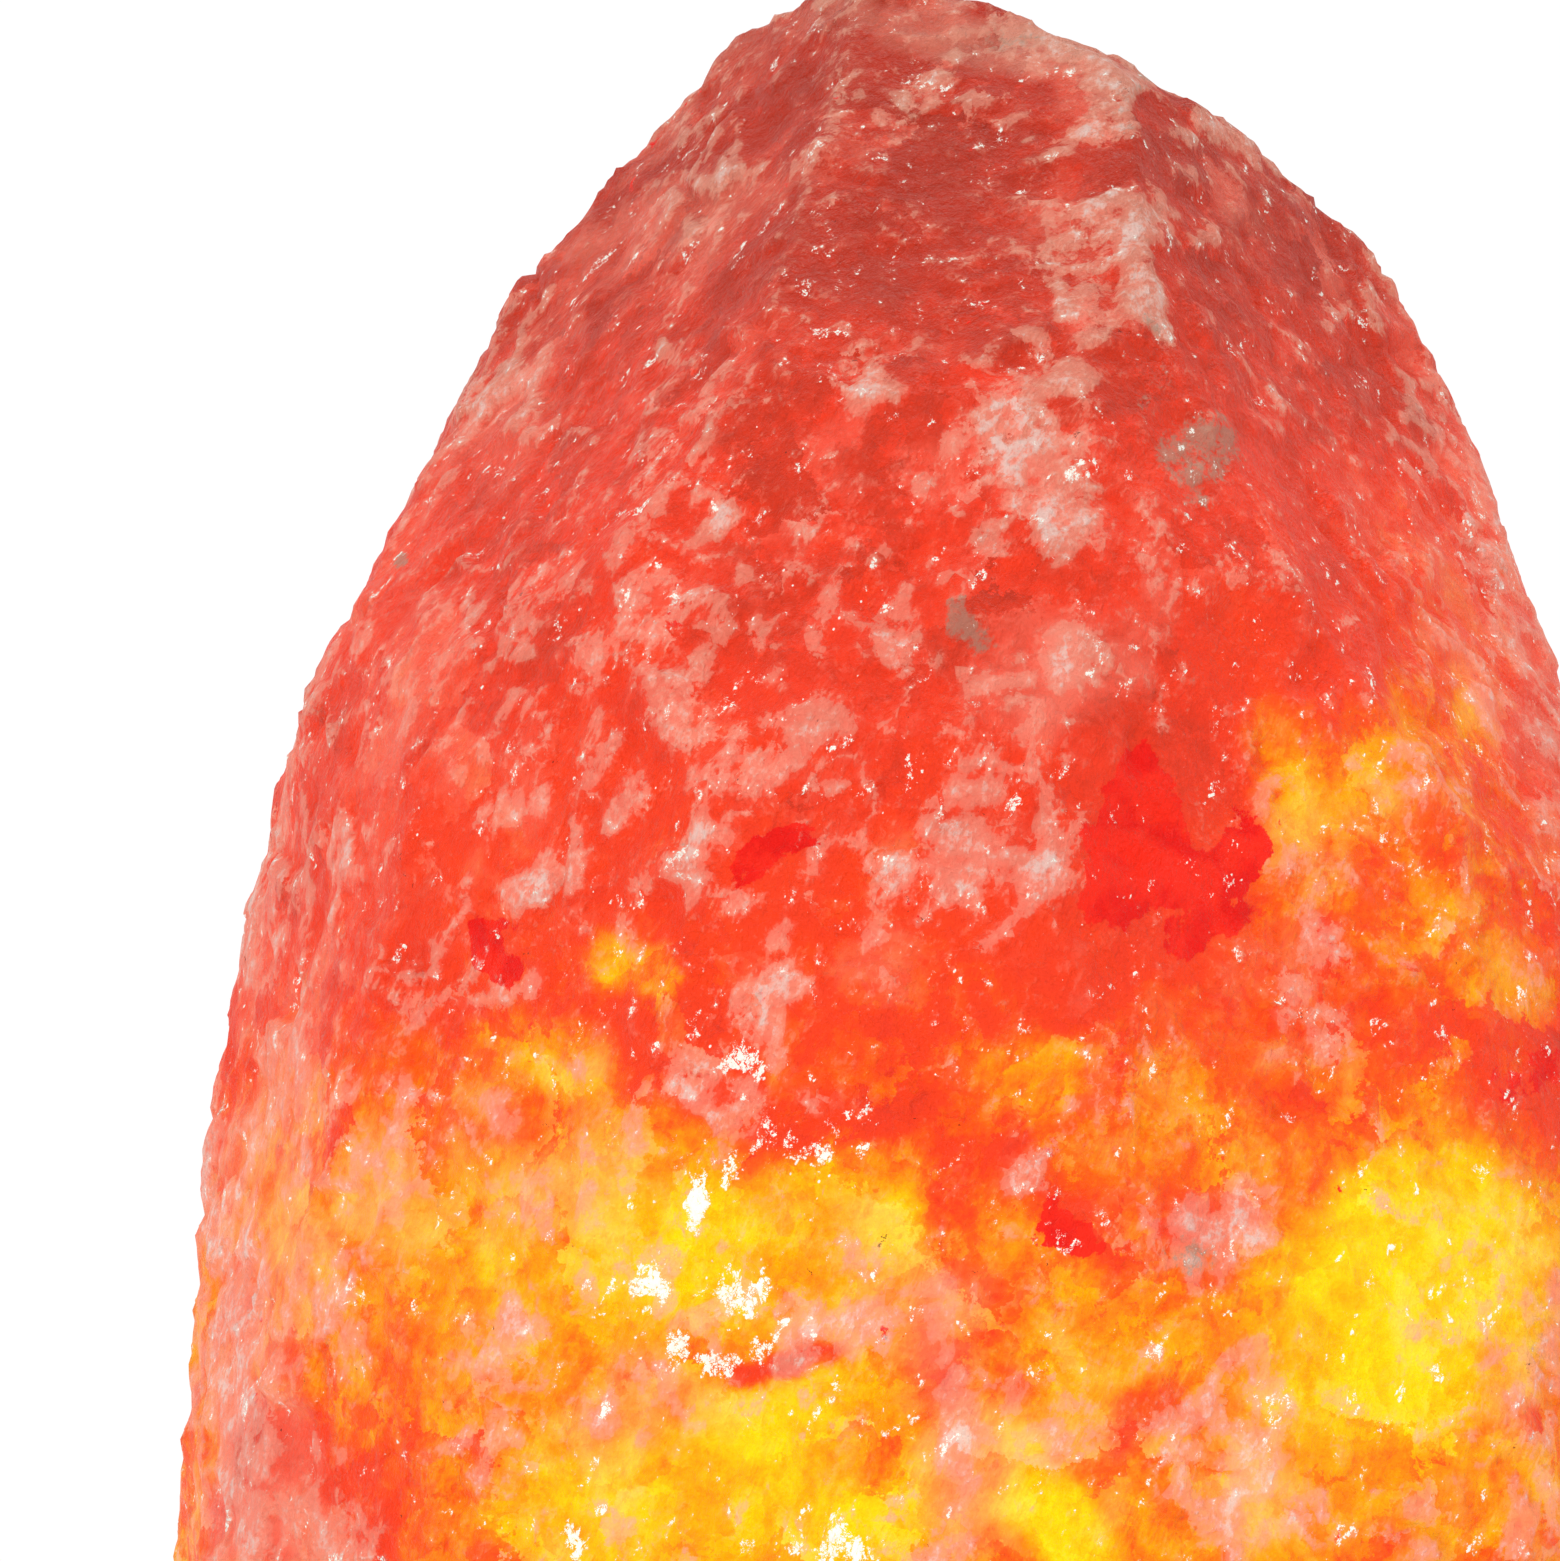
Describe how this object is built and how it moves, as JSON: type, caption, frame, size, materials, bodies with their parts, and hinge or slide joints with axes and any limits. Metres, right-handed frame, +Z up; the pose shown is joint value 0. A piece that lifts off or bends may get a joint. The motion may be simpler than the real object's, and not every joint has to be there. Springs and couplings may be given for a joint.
{
  "type": "salt crystal lamp",
  "caption": "Hewn rock-salt table lamp, lit from inside by a small screw-cap bulb whose spring-clip holder pulls out through a turned wooden base.",
  "frame": {"origin": "on the table, under the axis of the turned base and of the bulb's bore, level with the soles of the feet", "axes": "+Z up along the bore and the bulb; the front of the lamp looks along -Y; the cord groove leaves along +Y at the back"},
  "size_m": [0.1472, 0.1347, 0.2215],
  "materials": {
    "rock_salt": "hewn rock salt, translucent, matt and crystalline",
    "turned_wood": "turned hardwood, satin lacquer",
    "foot_rubber": "moulded rubber",
    "zinc_steel": "zinc-plated steel",
    "plug_nylon": "moulded nylon",
    "phenolic": "compression-moulded phenolic",
    "porcelain": "fired unglazed porcelain",
    "brass": "stamped and turned brass",
    "spring_steel": "tempered spring steel strip",
    "bush_nylon": "moulded nylon",
    "clear_glass": "blown clear glass",
    "nickel_plate": "nickel-plated brass",
    "black_glass": "fused black glass",
    "tungsten": "coiled tungsten wire",
    "nickel_wire": "drawn nickel and molybdenum wire"
  },
  "bodies": {
    "lamp": {"salt_crystal": "rock_salt", "wood_base": "turned_wood", "rubber_feet": "foot_rubber", "foot_screws": "zinc_steel", "base_screws": "zinc_steel", "wall_plugs": "plug_nylon"},
    "fitting": {"holder_body": "phenolic", "holder_cap": "phenolic", "holder_core": "porcelain", "thread_shell": "brass", "centre_contact": "brass", "contact_rivets": "brass", "terminal_blocks": "brass", "terminal_screws": "zinc_steel", "threaded_tube": "zinc_steel", "tube_nuts": "zinc_steel", "tube_washer": "zinc_steel", "cord_bush": "bush_nylon", "spring_clip": "spring_steel"},
    "bulb": {"bulb_glass": "clear_glass", "bulb_cap": "nickel_plate", "cap_insulator": "black_glass", "cap_contact": "brass", "bulb_stem": "clear_glass", "lead_wires": "nickel_wire", "support_wires": "nickel_wire", "filament": "tungsten"}
  },
  "joints": [
    {"name": "fitting_slide", "type": "slide", "parent": "lamp", "child": "fitting", "axis": [0, 0, -1], "range_m": [0, 0.11]},
    {"name": "bulb_turn", "type": "hinge", "parent": "fitting", "child": "bulb", "pos_m": [0, 0, 0.044], "axis": [0, 0, 1], "range_deg": [0, 900]}
  ]
}
